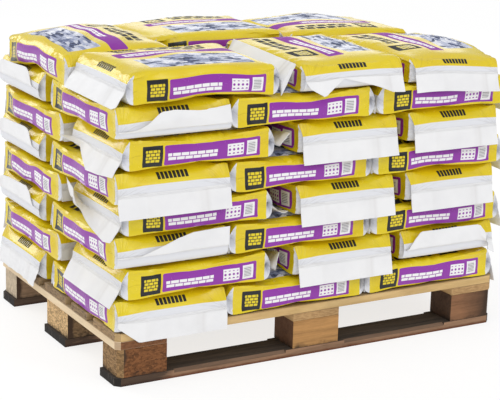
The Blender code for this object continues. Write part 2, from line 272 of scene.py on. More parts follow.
@dataclass
class Fin:
    """How the empty film past one weld lies. Lengths are given in mm and angles in degrees.

    q is the place across it as someone who faces that end sees it, from -1 at their left to 1 at their right.
    hang: (q, angle) pairs, the way the fin's outer part points: 0 straight out, -90 down, 60 up.
    folds: ((q0, b0), (q1, b1), angle): the part to the right of the line, as it hangs, is folded over.
    curl: (q, angle) pairs, how much further the outer edge has turned.
    web: (side, length), film drawn out beyond that side next to the weld, and hanging down there.
    lengths: (q, length) pairs, how much of the fin shows where the rest is folded away. None shows all of it.
    outer: the q at which each side of the fin ends at its outer edge.
    half: half its width.
    wave, crumple: the height of its ripples and of its creases.
    bend: the length of film next to the weld that turns down.
    floor: the local height that the fin comes to rest on.
    reach: the most that it stands out past the weld.
    """

    hang: tuple
    folds: tuple = ()
    length: float = 57
    curl: tuple = ((0, 0),)
    wave: float = 1.5
    seed: int = 0
    bend: float = 9
    half: float = 153
    crumple: float = 0.5
    web: tuple = None
    floor: float = -200
    lengths: tuple = None
    outer: tuple = (-1, 1)
    reach: float = 13

    def __post_init__(self):
        for name in ("length", "wave", "bend", "half", "crumple", "floor", "reach"):
            setattr(self, name, getattr(self, name) * MM)

    def flat_points(self, films, out):
        """Ring points at a distance out from the weld, on the flat sheet. q grows with w here."""
        half_top = SACK_WIDTH / 2
        w = np.clip(films, -half_top, half_top) * self.half / half_top
        over = np.abs(films) - half_top
        side = np.clip(over / SACK_HEIGHT, 0, 1)
        tucked = np.clip(1 - out / HEM, 0, 1) * GUSSET_DEPTH
        w = np.sign(w) * (np.abs(w) - tucked * (1 - np.abs(2 * side - 1)) * (over > 0))
        bottom = over > SACK_HEIGHT
        back = np.sign(films) * np.maximum(SACK_WIDTH + SACK_HEIGHT - np.abs(films), 0)
        w = np.where(bottom, back * self.half / half_top, w)
        if self.web:
            outer = np.clip(self.web[0] * w / self.half * 10 - 9, 0, 1)
            w = w + self.web[0] * outer * self.web[1] * MM * (1 - out / self.length)
        n = FIN_THICK * (0.5 - side)
        q = np.clip(w / self.half, -1, 1)
        share = out / self.length
        b = np.full_like(w, out)
        if self.lengths:
            b = out * np.interp(q, *zip(*self.lengths)) * MM / self.length
        left = mix(-1.0, self.outer[0], share)
        right = mix(1.0, self.outer[1], share)
        w = w + (left + (q + 1) * (right - left) / 2 - q) * self.half
        return np.column_stack((w, b, n))

    def angle(self, q, b):
        steep = math.radians(STEEP)
        hang = np.radians(np.interp(q, *zip(*self.hang)))
        curl = np.radians(np.interp(q, *zip(*self.curl))) * (b / FIN_LENGTH) ** 2
        return mix(steep, hang, smooth(b / self.bend)) + curl

    def place(self, points, seam_z):
        """Bends the flat, folded sheet down from the weld. Gives (out past the weld, w, z)."""
        q = np.clip(points[:, 0] / self.half, -1.3, 1.3)
        b = points[:, 1]
        out = np.zeros_like(b)
        down = np.zeros_like(b)
        for k in range(BEND_STEPS):
            theta = self.angle(q, b * (k + 0.5) / BEND_STEPS)
            landed = seam_z + down < self.floor
            theta = np.where(landed, np.maximum(theta, -0.1), theta)
            upright = np.where(theta > 0, math.pi / 2, -math.pi / 2)
            theta = np.where((out > self.reach) & (np.abs(theta) < math.pi / 2), upright, theta)
            out += np.cos(theta) * b / BEND_STEPS
            down += np.sin(theta) * b / BEND_STEPS
        rng = np.random.RandomState(self.seed)
        ripple = np.zeros_like(b)
        for _ in range(4):
            k_w, k_b, phase = rng.uniform(2, 8), rng.uniform(-2, 3), rng.uniform(0, 6.28)
            ripple += np.sin(k_w * q + k_b * b / FIN_LENGTH + phase) / 2
        n = points[:, 2] + ripple * self.wave * smooth(b / (30 * MM))
        n = n + crumple_waves(points[:, 0], b, rng) * self.crumple * smooth(b / (12 * MM))
        if self.web:
            theta = theta * (1 - smooth((np.abs(points[:, 2]) - 1 * MM) / (4 * MM)))
        return np.column_stack((out - np.sin(theta) * n, points[:, 0], seam_z + down + np.cos(theta) * n))

    def ring(self, films, out, seam_z):
        points = self.flat_points(films, out * self.length / FIN_LENGTH)
        for (q0, b0), (q1, b1), degrees in self.folds:
            line = ((q0 * self.half, b0 * MM), (q1 * self.half, b1 * MM))
            points = folded(points, line, degrees)
        return self.place(points, seam_z)


def sack_points(fins, seam_heights, shoulder):
    """All rings of a sack, as (stations, ring points, 3), and what film_lengths gives for them."""
    films = ring_films()
    welds = [(z, fin.half) for z, fin in zip(seam_heights, fins)]
    outs = np.linspace(0, FIN_LENGTH, FIN_STEPS + 1)[1:]
    low_end, high_end = [], []
    for out in outs:
        spot = fins[0].ring(-films, out, seam_heights[0])
        low_end.append(np.column_stack((-SEAM_X - spot[:, 0], -spot[:, 1], spot[:, 2])))
        spot = fins[1].ring(films, out, seam_heights[1])
        high_end.append(np.column_stack((SEAM_X + spot[:, 0], spot[:, 1], spot[:, 2])))
    body = body_rings(welds, shoulder)
    return np.array(low_end[::-1] + body + high_end), film_lengths(np.array(body), outs)


def from_weld(lengths):
    """Film lengths in from the weld, stretched so that the side's print starts at the gusset's fold."""
    to_fold = np.sort(lengths)[GUSSET_STATION]
    return np.where(lengths < to_fold, lengths * WHITE_ON_SIDE / to_fold, lengths - to_fold + WHITE_ON_SIDE)


def film_lengths(body, outs):
    """Each station's length along the film from the sack's middle, and inwards from the nearer weld."""
    middle_line = body[:, TOP_STEPS + SIDE_STEPS]
    steps = np.linalg.norm(np.diff(middle_line[:, [0, 2]], axis=0), axis=1)
    along = np.concatenate(([0.0], np.cumsum(steps)))
    at_middle = np.interp(0.0, middle_line[:, 0], along)
    half = len(along) // 2
    inward = np.concatenate((from_weld(along[:half]), from_weld(along[-1] - along[half:])))
    signed = np.concatenate((-outs[::-1] - at_middle, along - at_middle, outs + along[-1] - at_middle))
    return signed, np.concatenate((-outs[::-1], inward, -outs))


# Creases of the filled film, from a cloth simulation of the body

SIM_FRAMES = 22
SIM_CAP = 9 * MM  # no point moves more than this
SHOULDER = 29  # mm, the rounding of a sack's shoulders under other sacks and on top
TOP_SHOULDER = 42


def random_wave(rng, low, high):
    """The vector of a wave with any direction and a length from low to high."""
    wave = rng.normal(size=3)
    return wave * (2 * math.pi / rng.uniform(low, high) / np.linalg.norm(wave))


def smooth_field(points, rng, low, high):
    """A slowly changing number from 0 to 1 over the points."""
    total = np.zeros(len(points))
    for _ in range(6):
        wave = random_wave(rng, low, high)
        total += np.sin(points @ wave + rng.uniform(0, 6.28))
    return np.clip(0.5 + total / 6, 0, 1)


def new_object(name, data):
    obj = bpy.data.objects.new(name, data)
    bpy.context.scene.collection.objects.link(obj)
    return obj


def set_group(obj, name, weights):
    group = obj.vertex_groups.new(name=name)
    for index, weight in enumerate(weights):
        group.add([index], float(weight), "REPLACE")
    return name


def simulated_creases(seed, on_top):
    """How far each body point moves when the film, a little too large, is blown up against its filling."""
    welds = ((32 * MM, SEAM_HALF_WIDTH), (38 * MM, SEAM_HALF_WIDTH))
    rings = np.array(body_rings(welds, TOP_SHOULDER if on_top else SHOULDER))
    stations, around, _ = rings.shape
    points = rings.reshape(-1, 3)
    mesh = bpy.data.meshes.new("creases")
    mesh.from_pydata(points.tolist(), [], ring_quads(stations, around))
    obj = new_object("creases", mesh)
    rng = np.random.RandomState(seed)
    inward = SEAM_X - np.abs(points[:, 0])
    held = 1 - smooth((inward - 4 * MM) / (22 * MM))
    flat = smooth((SACK_WIDTH / 2 - 34 * MM - np.abs(points[:, 1])) / (40 * MM))
    if on_top:
        flat = flat * (points[:, 2] < SACK_HEIGHT / 2)
    pin = set_group(obj, "held", np.clip(np.maximum(held, 0.55 * flat + 0.02), 0, 1))
    looseness = smooth_field(points, rng, 110 * MM, 260 * MM)
    near_end = 1 - smooth(inward / (110 * MM))
    slack = 0.35 * looseness + 0.65 * near_end * (0.5 + 0.5 * looseness)
    run_cloth(obj, pin, set_group(obj, "loose", np.clip(slack, 0, 1)))
    moved = np.empty(len(points) * 3)
    obj.data.vertices.foreach_get("co", moved)
    shift = moved.reshape(-1, 3) - points
    bpy.data.objects.remove(obj, do_unlink=True)
    size = np.linalg.norm(shift, axis=1, keepdims=True)
    shift *= np.minimum(1.0, SIM_CAP / np.maximum(size, 1e-9))
    return shift.reshape(stations, around, 3)


def run_cloth(obj, pin, loose):
    modifier = obj.modifiers.new("cloth", "CLOTH")
    settings = modifier.settings
    settings.quality = 6
    settings.mass = 0.25
    settings.tension_stiffness = 20
    settings.compression_stiffness = 20
    settings.shear_stiffness = 6
    settings.bending_stiffness = 0.25
    settings.vertex_group_mass = pin
    settings.pin_stiffness = 1.0
    settings.vertex_group_shrink = loose
    settings.shrink_min = 0.0
    settings.shrink_max = -0.09
    settings.use_pressure = True
    settings.uniform_pressure_force = 3.0
    settings.effector_weights.gravity = 0
    modifier.collision_settings.use_collision = False
    modifier.point_cache.frame_start = 1
    modifier.point_cache.frame_end = SIM_FRAMES
    scene = bpy.context.scene
    for step in range(1, SIM_FRAMES + 1):
        scene.frame_set(step)
    bpy.context.view_layer.objects.active = obj
    bpy.ops.object.modifier_apply(modifier=modifier.name)
    scene.frame_set(1)


def mirrored_creases(shift, flip_x, flip_y):
    """The same creases on the other end or the other side."""
    if flip_x:
        shift = shift[::-1] * np.array([-1, 1, 1])
    if flip_y:
        shift = np.roll(shift[:, ::-1], 1, axis=1) * np.array([1, -1, 1])
    return shift


CREASES = {"stacked": [], "top": []}


def make_creases():
    CREASES["stacked"] = [simulated_creases(seed, False) for seed in (1, 2, 3, 4)]
    CREASES["top"] = [simulated_creases(seed, True) for seed in (11, 12, 13)]


def creased(rings, kind, seed):
    choices = CREASES[kind]
    if not choices:
        return rings
    rng = np.random.RandomState(seed + 7)
    shift = choices[rng.randint(len(choices))]
    shift = mirrored_creases(shift, rng.rand() < 0.5, rng.rand() < 0.5).copy()
    body = rings[FIN_STEPS:-FIN_STEPS]
    if kind == "top":
        shift[..., 2] = np.maximum(shift[..., 2], -2 * MM)
    if kind == "stacked":
        low = smooth((body[..., 2] - 1 * MM) / (12 * MM))
        high = smooth((SACK_HEIGHT - 1 * MM - body[..., 2]) / (12 * MM))
        free = np.where(shift[..., 2] < 0, low, high)
        shift[..., 2] *= mix(0.1, 1, free)
    rings[FIN_STEPS:-FIN_STEPS] = body + shift
    return rings


# Lay of a sack: small changes of shape as it settles

@dataclass
class Lay:
    """How one sack lies, and how its print was laid on the film. Lengths are in mm and angles in degrees.

    move, yaw: how it is moved and turned from its node.
    sink: how far its corners (-X -Y), (-X +Y), (+X -Y), (+X +Y) are down.
    crown, flatter: how much higher the middle of its top is, and how much lower all of it.
    seams: the height of its two welds.
    slip, top_slip: how far the print is along the film, on the sides and on the top.
    top_across, end_slip: how far the top's print is across it, and at its ends nearer to the weld.
    """

    fins: tuple
    seed: int
    move: tuple = (0, 0)
    yaw: float = 0.0
    sink: tuple = (0, 0, 0, 0)
    crown: float = 0.0
    seams: tuple = (30, 40)
    shoulder: float = SHOULDER
    slip: float = 0
    end_slip: float = 0
    top_slip: float = 0
    top_across: float = 0
    flatter: float = 0


def shares(points):
    """How far each point is along and across the sack, from -1 to 1."""
    return np.clip(points[..., 0] / SEAM_X, -1, 1), np.clip(points[..., 1] / (SACK_WIDTH / 2), -1, 1)


def sunk(points, sink):
    x_share, y_share = shares(points)
    drop = np.zeros(points.shape[:-1])
    for (side_x, side_y), amount in zip(((-1, -1), (-1, 1), (1, -1), (1, 1)), sink):
        drop += amount * MM * smooth((side_x * x_share + 0.1) / 1.1) * smooth((side_y * y_share + 0.7) / 1.7)
    points[..., 2] -= drop
    return points


def crowned(points, crown):
    x_share, y_share = shares(points)
    high = smooth(points[..., 2] / SACK_HEIGHT)
    points[..., 2] += crown * MM * (1 - x_share**4) * (1 - y_share**2) * high
    return points


def flattened(points, amount):
    """The filling has spread out, so the top is lower and the bottom as before."""
    points[..., 2] -= amount * MM * smooth(points[..., 2] / SACK_HEIGHT)
    return points


def lumpy(points, seed, amount):
    """Broad, shallow unevenness of the filling."""
    rng = np.random.RandomState(seed)
    push = np.zeros(points.shape)
    for _ in range(7):
        wave = random_wave(rng, 90 * MM, 210 * MM)
        push += np.sin(points @ wave + rng.uniform(0, 6.28))[..., None] * rng.normal(size=3)
    inside = smooth((SEAM_X - np.abs(points[..., 0])) / (60 * MM))
    return points + push * (amount * MM / 3.2) * inside[..., None]


def crumpled_gussets(rings, seed):
    """The white facets beside each weld are a little uneven."""
    rng = np.random.RandomState(seed + 31)
    body = rings[FIN_STEPS:-FIN_STEPS]
    inward = SEAM_X - np.abs(body[..., 0])
    middle = np.sin(math.pi * np.clip(inward / GUSSET_REACH, 0, 1))
    side = np.zeros(rings.shape[1])
    for low, high in SIDE_PLACES:
        side[low + 1 : high] = 1
    push = crumple_waves(body[..., 0], body[..., 2], rng, 14 * MM, 34 * MM) * 1.6 * MM * middle * side
    body[..., 1] += push * np.sign(body[..., 1])
    return rings


def ribbed(rings, films, seed):
    """Short ridges of slack film across the shoulders."""
    rng = np.random.RandomState(seed + 57)
    body = rings[FIN_STEPS:-FIN_STEPS]
    u = body[..., 0]
    v = np.broadcast_to(films, u.shape)
    near = smooth(1 - np.abs(np.abs(v) - SACK_WIDTH / 2 + 6 * MM) / (46 * MM))
    ridges = np.zeros(u.shape)
    for _ in range(5):
        length = rng.uniform(19, 44) * MM
        slant = rng.uniform(-0.5, 0.5)
        ridges += np.sin(2 * math.pi * (u + slant * np.abs(v)) / length + rng.uniform(0, 6.28) + 3 * (v > 0))
    patches = smooth_field(np.stack((u, v * 0.7, v * 0), axis=-1).reshape(-1, 3), rng, 90 * MM, 200 * MM)
    inside = smooth((SEAM_X - np.abs(u) - 14 * MM) / (30 * MM))
    amount = ridges / 2.2 * near * smooth((patches.reshape(u.shape) - 0.35) / 0.4) * inside * 1.5 * MM
    out_y = np.sign(body[..., 1]) * np.minimum(np.abs(body[..., 1]) / (SACK_WIDTH / 2), 1) ** 4
    body[..., 1] += amount * out_y
    body[..., 2] += amount * np.clip((body[..., 2] / SACK_HEIGHT - 0.5) * 2, 0, 1)
    return rings


SHARP_ANGLE = 0.65  # radians


def mark_sharp(mesh, stations, around):
    """The gussets' folds are crisp, and so is every edge that turns by more than SHARP_ANGLE."""
    mesh.shade_smooth()
    mesh.set_sharp_from_angle(angle=SHARP_ANGLE)
    ends = np.zeros(len(mesh.edges) * 2, dtype=np.int32)
    mesh.edges.foreach_get("vertices", ends)
    ends = ends.reshape(-1, 2)
    station = ends // around
    place = ends % around
    inner = np.minimum(station - FIN_STEPS, stations - 1 - FIN_STEPS - station)
    same_ring = station[:, 0] == station[:, 1]
    on_side = np.any([(place >= low) & (place <= high) for low, high in SIDE_PLACES], axis=0)
    creased_places = [place for low, high in SIDE_PLACES for place in (low, (low + high) // 2, high)]
    fold = same_ring & (inner[:, 0] == GUSSET_STATION) & on_side.all(axis=1)
    along = (place[:, 0] == place[:, 1]) & np.isin(place[:, 0], creased_places)
    along &= ((inner >= 0) & (inner <= GUSSET_STATION)).all(axis=1)
    sharp = mesh.attributes.get("sharp_edge") or mesh.attributes.new("sharp_edge", "BOOLEAN", "EDGE")
    values = np.zeros(len(mesh.edges), dtype=bool)
    sharp.data.foreach_get("value", values)
    sharp.data.foreach_set("value", values | fold | along)


def sack_mesh(name, lay, material):
    seams = (lay.seams[0] * MM, lay.seams[1] * MM)
    rings, lengths = sack_points(lay.fins, seams, lay.shoulder)
    rings = crumpled_gussets(rings, lay.seed)
    rings = ribbed(rings, ring_films(), lay.seed)
    rings = creased(rings, "top" if name.startswith("bag_8") else "stacked", lay.seed)
    rings = lumpy(rings, lay.seed, 2.2)
    rings = flattened(rings, lay.flatter)
    rings = crowned(rings, lay.crown)
    rings = sunk(rings, lay.sink)
    stations, around, _ = rings.shape
    mesh = bpy.data.meshes.new(name)
    quads = ring_quads(stations, around)
    caps = cap_faces(around)
    last = (stations - 1) * around
    faces = quads + [face[::-1] for face in caps] + [tuple(v + last for v in face) for face in caps]
    mesh.from_pydata(rings.reshape(-1, 3).tolist(), [], faces)
    add_print_map(mesh, rings, lengths, len(quads), lay)
    mark_sharp(mesh, stations, around)
    mesh.materials.append(material)
    return mesh


def cap_faces(around):
    """Closes the fin's outer edge: the top film's points are joined to the bottom film's, side by side."""
    top_first = HALF_TOP + SIDE_STEPS
    top_last = top_first + TOP_STEPS
    faces = []
    for step in range(TOP_STEPS):
        top_a = top_first + step
        low_a = (HALF_TOP - step) % around
        low_b = (HALF_TOP - step - 1) % around
        faces.append((top_a, top_a + 1, low_b, low_a))
    faces.append(tuple(range(HALF_TOP, top_first + 1)))
    faces.append(tuple(range(top_last, top_last + SIDE_STEPS + 1)))
    return faces


def add_print_map(mesh, rings, lengths, quad_count, lay):
    """UV in metres of film: u along the sack, v round it. The weld map's u runs in from the nearer weld.

    The last map spreads the whole sack over the unit square.
    """
    stations, around, _ = rings.shape
    films = ring_films()
    loop_vertex = np.zeros(len(mesh.loops), dtype=np.int32)
    mesh.loops.foreach_get("vertex_index", loop_vertex)
    station = loop_vertex // around
    place = loop_vertex % around
    u = lengths[0][station]
    inward = lengths[1][station]
    v = films[place]
    near_top = np.abs(v) < SACK_WIDTH / 2 - 1 * MM
    inward = inward + lay.end_slip * MM * near_top * smooth((inward - WHITE_ON_TOP) / (8 * MM))
    across = lay.top_across * MM * smooth((SACK_WIDTH / 2 - np.abs(v)) / (60 * MM))
    wraps = np.zeros(len(loop_vertex), dtype=bool)
    first = np.arange(quad_count) * 4
    at_seam = (np.arange(quad_count) % around) == around - 1
    for corner in (1, 2):
        wraps[first[at_seam] + corner] = True
    v = np.where(wraps, SACK_WIDTH + SACK_HEIGHT, v)
    first_place = np.arange(quad_count) % around
    low_side, high_side = [(first_place >= low) & (first_place < high) for low, high in SIDE_PLACES]
    on_top = (first_place >= SIDE_PLACES[0][1]) & (first_place < SIDE_PLACES[1][0])
    slipped = np.zeros(len(loop_vertex))
    moved = (lay.slip * (low_side * 1.0 - high_side * 1.0) + lay.top_slip * on_top) * MM
    slipped[: quad_count * 4] = np.repeat(moved, 4)
    film = mesh.uv_layers.new(name="print")
    film.data.foreach_set("uv", np.column_stack((u + slipped, v + across)).astype(np.float32).ravel())
    weld = mesh.uv_layers.new(name="weld")
    weld.data.foreach_set("uv", np.column_stack((inward, v)).astype(np.float32).ravel())
    bake = mesh.uv_layers.new(name="OFBake")
    bake.data.foreach_set("uv", bake_places(u, v).astype(np.float32).ravel())
    mesh.uv_layers.active = film


def bake_places(u, v):
    """The bottom is never seen, so it gets less room than the top and the sides get more."""
    reach = np.abs(u).max()
    edges = np.array([0, SACK_WIDTH / 2, SACK_WIDTH / 2 + SACK_HEIGHT, SACK_WIDTH + SACK_HEIGHT])
    room = np.array([0, 0.24, 0.42, 0.495])
    around = 0.5 + np.sign(v) * np.interp(np.abs(v), edges, room)
    along = 0.005 + 0.99 * (u + reach) / (2 * reach)
    return np.column_stack((along, around))


# Materials

SOFT_EDGE = 0.5  # mm, half the width of a printed edge


class Graph:
    """Short ways to add shader nodes to one tree."""

    def __init__(self, tree):
        self.tree = tree

    def node(self, kind, **settings):
        node = self.tree.nodes.new(kind)
        for key, value in settings.items():
            setattr(node, key, value)
        return node

    def feed(self, socket, value):
        if hasattr(value, "links"):
            self.tree.links.new(value, socket)
        else:
            socket.default_value = value

    def math(self, operation, *values):
        node = self.node("ShaderNodeMath", operation=operation)
        for socket, value in zip(node.inputs, values):
            self.feed(socket, value)
        return node.outputs[0]

    def plus(self, a, b):
        return self.math("ADD", a, b)

    def minus(self, a, b):
        return self.math("SUBTRACT", a, b)

    def times(self, a, b):
        return self.math("MULTIPLY", a, b)

    def over(self, a, b):
        return self.math("DIVIDE", a, b)

    def absolute(self, a):
        return self.math("ABSOLUTE", a)

    def fraction(self, a):
        return self.math("FRACT", a)

    def total(self, *weighted):
        """The sum of (value, weight) pairs."""
        parts = [self.times(value, weight) for value, weight in weighted]
        result = parts[0]
        for part in parts[1:]:
            result = self.plus(result, part)
        return result

    def length(self, a, b):
        return self.math("SQRT", self.plus(self.math("POWER", a, 2.0), self.math("POWER", b, 2.0)))

    def map(self, value, low, high, to_low=0.0, to_high=1.0, smoothly=False):
        node = self.node("ShaderNodeMapRange", interpolation_type="SMOOTHSTEP" if smoothly else "LINEAR")
        for socket, item in zip(node.inputs, (value, low, high, to_low, to_high)):
            self.feed(socket, item)
        return node.outputs[0]

    def mix(self, share, a, b, blend="MIX"):
        node = self.node("ShaderNodeMix", data_type="RGBA", blend_type=blend)
        self.feed(node.inputs[0], share)
        self.feed(node.inputs[6], a)
        self.feed(node.inputs[7], b)
        return node.outputs[2]

    def vector(self, x, y, z=0.0):
        node = self.node("ShaderNodeCombineXYZ")
        for socket, value in zip(node.inputs, (x, y, z)):
            self.feed(socket, value)
        return node.outputs[0]

    def split(self, vector):
        node = self.node("ShaderNodeSeparateXYZ")
        self.feed(node.inputs[0], vector)
        return node.outputs

    def scaled(self, vector, scale):
        node = self.node("ShaderNodeMapping")
        self.feed(node.inputs[0], vector)
        node.inputs["Scale"].default_value = scale
        return node.outputs[0]

    def noise(self, vector, scale, detail=2.0, roughness=0.5, distortion=0.0):
        node = self.node("ShaderNodeTexNoise")
        self.feed(node.inputs["Vector"], vector)
        node.inputs["Scale"].default_value = scale
        node.inputs["Detail"].default_value = detail
        node.inputs["Roughness"].default_value = roughness
        node.inputs["Distortion"].default_value = distortion
        return node.outputs[0]

    def cells(self, vector, randomness=1.0, distance="EUCLIDEAN"):
        """A random number for each of the cells that the vector falls into."""
        node = self.node("ShaderNodeTexVoronoi", feature="F1", distance=distance)
        self.feed(node.inputs["Vector"], vector)
        node.inputs["Scale"].default_value = 1.0
        node.inputs["Randomness"].default_value = randomness
        return self.split(node.outputs["Color"])[0]

    def here(self):
        return self.node("ShaderNodeTexCoord").outputs["Object"]

    def normal(self):
        return self.split(self.node("ShaderNodeNewGeometry").outputs["Normal"])

    def ramp(self, value, stops):
        node = self.node("ShaderNodeValToRGB")
        elements = node.color_ramp.elements
        while len(elements) < len(stops):
            elements.new(0.5)
        for element, (position, color) in zip(elements, stops):
            element.position = position
            element.color = color
        self.feed(node.inputs[0], value)
        return node.outputs[0]

    # Shapes in the (x, y) plane of the film. Their own measures are in mm.

    def box(self, x, y, x_range, y_range, radius=1):
        """1 inside a rounded rectangle, with a soft edge."""
        past = []
        for place, (low, high) in ((x, x_range), (y, y_range)):
            off = self.absolute(self.minus(place, (low + high) / 2 * MM))
            past.append(self.math("MAXIMUM", self.minus(off, ((high - low) / 2 - radius) * MM), 0.0))
        return self.map(self.length(*past), (radius + SOFT_EDGE) * MM, (radius - SOFT_EDGE) * MM)

    def bricks(self, x, y, corner, size, joint):
        """1 on the faces of bricks laid in running bond from a corner, 0 on the joints between them."""
        column = self.over(self.minus(x, corner[0] * MM), size[0] * MM)
        row = self.over(self.minus(y, corner[1] * MM), size[1] * MM)
        odd = self.math("MODULO", self.absolute(self.math("FLOOR", row)), 2.0)
        faces = []
        for place, step in ((self.plus(column, self.times(odd, 0.5)), size[0]), (row, size[1])):
            off = self.absolute(self.minus(self.fraction(place), 0.5))
            gap = joint / step / 2
            faces.append(self.map(off, 0.5 - gap * 0.5, 0.5 - gap * 1.5))
        return self.times(*faces)

    def dots(self, x, y, corner, pitch, radius):
        cells = [self.over(self.minus(place, low * MM), pitch * MM) for place, low in zip((x, y), corner)]
        off = self.length(*[self.minus(self.fraction(cell), 0.5) for cell in cells])
        return self.map(off, radius / pitch + 0.06, radius / pitch - 0.06)

    def surface(self, color, rough, specular, height, strength, depth):
        """The material's surface: a Principled shader with a bump."""
        bump = self.node("ShaderNodeBump")
        bump.inputs["Strength"].default_value = strength
        bump.inputs["Distance"].default_value = depth
        self.feed(bump.inputs["Height"], height)
        shader = self.node("ShaderNodeBsdfPrincipled")
        self.feed(shader.inputs["Base Color"], color)
        self.feed(shader.inputs["Roughness"], rough)
        shader.inputs["Specular IOR Level"].default_value = specular
        self.feed(shader.inputs["Normal"], bump.outputs[0])
        self.feed(self.node("ShaderNodeOutputMaterial").inputs[0], shader.outputs[0])


def new_material(name):
    material = bpy.data.materials.new(name)
    material.use_nodes = True
    material.node_tree.nodes.clear()
    return material, Graph(material.node_tree)


YELLOW = (0.81, 0.64, 0.012, 1)
DEEP_YELLOW = (0.78, 0.58, 0.008, 1)
PURPLE = (0.275, 0.026, 0.375, 1)
PRINT_WHITE = (0.90, 0.89, 0.90, 1)
BLACK_INK = (0.006, 0.006, 0.008, 1)
FILM_WHITE = (0.88, 0.88, 0.89, 1)
FILLED_WHITE = (0.78, 0.79, 0.83, 1)
STRIPE_GREY = (0.25, 0.25, 0.27, 1)
FIN_GREY = (0.83, 0.83, 0.845, 1)
# the colour of the painted shade along the film's creases
PAINTED_CREASE_SHADE = (0.45, 0.40, 0.36, 1)
WHITE_ON_TOP = 19 * MM  # how far in from the weld the film is unprinted, on the top and on the rest
WHITE_ON_SIDE = 45 * MM
LABEL = ((-103, 178), (7, 62))  # mm, along the side from its middle and up from its foot
MARK = ((-163, -108), (5, 64))
MARK_MIDDLE = sum(MARK[0]) / 2


def side_label(g, color, a, b):
    """The print of a sack's long side. a runs to the reader's right and b up from the side's foot."""
    color = g.mix(g.box(a, b, *MARK, 1.2), color, BLACK_INK)
    mark = g.box(a, b, (MARK_MIDDLE - 19, MARK_MIDDLE + 19), (17, 53), 4)
    laid = g.bricks(a, b, (MARK_MIDDLE, 8), (12.6, 9), 2)
    color = g.mix(g.times(mark, laid), color, YELLOW)
    color = g.mix(g.box(a, b, *LABEL, 5), color, PURPLE)
    rows = g.times(g.box(a, b, (-94, 47), (20, 41)), g.bricks(a, b, (-94, 20), (23.5, 10.5), 2.2))
    color = g.mix(rows, color, PRINT_WHITE)
    color = g.mix(g.box(a, b, (75, 123), (16, 50)), color, PRINT_WHITE)
    spots = g.times(g.box(a, b, (75, 123), (21.5, 45)), g.dots(a, b, (75, 16), 12, 3.4))
    color = g.mix(spots, color, PURPLE)
    color = g.mix(g.box(a, b, (133, 168), (13, 54)), color, PRINT_WHITE)
    lines = g.map(g.fraction(g.over(b, 4.6 * MM)), 0.42, 0.56)
    return g.mix(g.times(g.box(a, b, (137, 161), (18, 49), 0.5), lines), color, STRIPE_GREY)


def stone_picture(g, u, v):
    """A made-up wall of blue-grey ashlar."""
    place = g.vector(u, v)
    tone = g.cells(g.scaled(place, (38, 75, 1)), 0.85, "CHEBYCHEV")
    shade = g.total((tone, 0.55), (g.noise(place, 130, 4, 0.65), 0.6))
    stops = (
        (0.24, (0.010, 0.016, 0.05, 1)),
        (0.40, (0.10, 0.13, 0.26, 1)),
        (0.56, (0.33, 0.38, 0.58, 1)),
        (0.80, (0.72, 0.74, 0.82, 1)),
    )
    return g.ramp(shade, stops)


def top_print(g, color, u, v):
    """The print of a sack's top: a picture, a label, a row of bars and a mark."""
    color = g.mix(g.box(u, v, (-115, 185), (-125, -15), 2), color, stone_picture(g, u, v))
    color = g.mix(g.box(u, v, (-140, 205), (10, 62), 6), color, PURPLE)
    rows = g.times(g.box(u, v, (-118, 96), (24, 48)), g.bricks(u, v, (-118, 24), (30, 12), 3.4))
    color = g.mix(rows, color, PRINT_WHITE)
    bars = g.times(g.box(u, v, (-28, 152), (82, 136)), g.bricks(u, v, (-28, 82), (36, 27), 6))
    color = g.mix(bars, color, BLACK_INK)
    color = g.mix(g.box(u, v, (-116, -52), (76, 140), 2), color, BLACK_INK)
    inset = g.times(g.box(u, v, (-105, -63), (87, 129), 5), g.bricks(u, v, (-84, 87), (14, 10.5), 2.2))
    return g.mix(inset, color, YELLOW)


def end_print(g, color, inward, v):
    """The small black row on the slope at each end."""
    row = g.times(g.box(inward, v, (31, 54), (-45, 45)), g.bricks(v, inward, (-45, 30), (11.25, 25), 2.6))
    return g.mix(row, color, BLACK_INK)


def film_height(g, here, u, v, inward, round_top):
    """The film's own creases: crinkle, ridges over the shoulders, fans at the corners and the weld's ribs.

    Gives the height, and where the fans' sharp creases and the side's middle crease are; along these lines
    the film's colour is darkened as painted shade.
    """
    crinkle = g.noise(here, 95, 4, 0.62, 0.6)
    broad = g.noise(here, 26, 2, 0.5, 0.4)
    flat = g.vector(u, v)
    ridges = g.noise(g.scaled(flat, (75, 9, 1)), 1.0, 2, 0.5, 0.35)
    off_shoulder = g.absolute(g.minus(round_top, SACK_WIDTH / 2 + 2 * MM))
    at_shoulder = g.map(off_shoulder, 46 * MM, 6 * MM, smoothly=True)
    patchy = g.map(g.noise(g.scaled(flat, (7, 3, 1)), 1.0, 1), 0.42, 0.62, smoothly=True)
    ridges = g.times(g.times(ridges, at_shoulder), patchy)
    to_end = g.math("MAXIMUM", g.plus(inward, 8 * MM), 0.0)
    to_side = g.minus(round_top, SACK_WIDTH / 2)
    turn = g.math("ARCTAN2", to_side, to_end)
    reach = g.length(to_end, to_side)
    rays = g.noise(g.vector(g.times(turn, 5.5), g.times(reach, 9.0), corner_number(g, u, v)), 1.0, 2)
    near_corner = g.map(reach, 120 * MM, 25 * MM, smoothly=True)
    lines = g.map(g.absolute(g.minus(rays, 0.5)), 0.045, 0.0)
    lines = g.times(lines, near_corner)
    rays = g.times(rays, near_corner)
    height = g.total((crinkle, 0.05), (broad, 0.38), (ridges, 0.55), (rays, 0.62))
    off_crease = g.absolute(g.minus(round_top, SACK_WIDTH / 2 + SACK_HEIGHT * 0.52))
    wander = g.times(g.minus(broad, 0.5), 16 * MM)
    crease = g.map(g.absolute(g.plus(off_crease, wander)), 1.5 * MM, 0.0)
    crease = g.times(crease, g.map(inward, 112 * MM, 64 * MM, smoothly=True))
    crease = g.times(crease, g.map(inward, WHITE_ON_SIDE - 1 * MM, WHITE_ON_SIDE))
    lines = g.math("MAXIMUM", lines, crease)
    return g.total((height, 1.0), (lines, -0.12), (weld_ribs(g, inward), 0.20)), lines


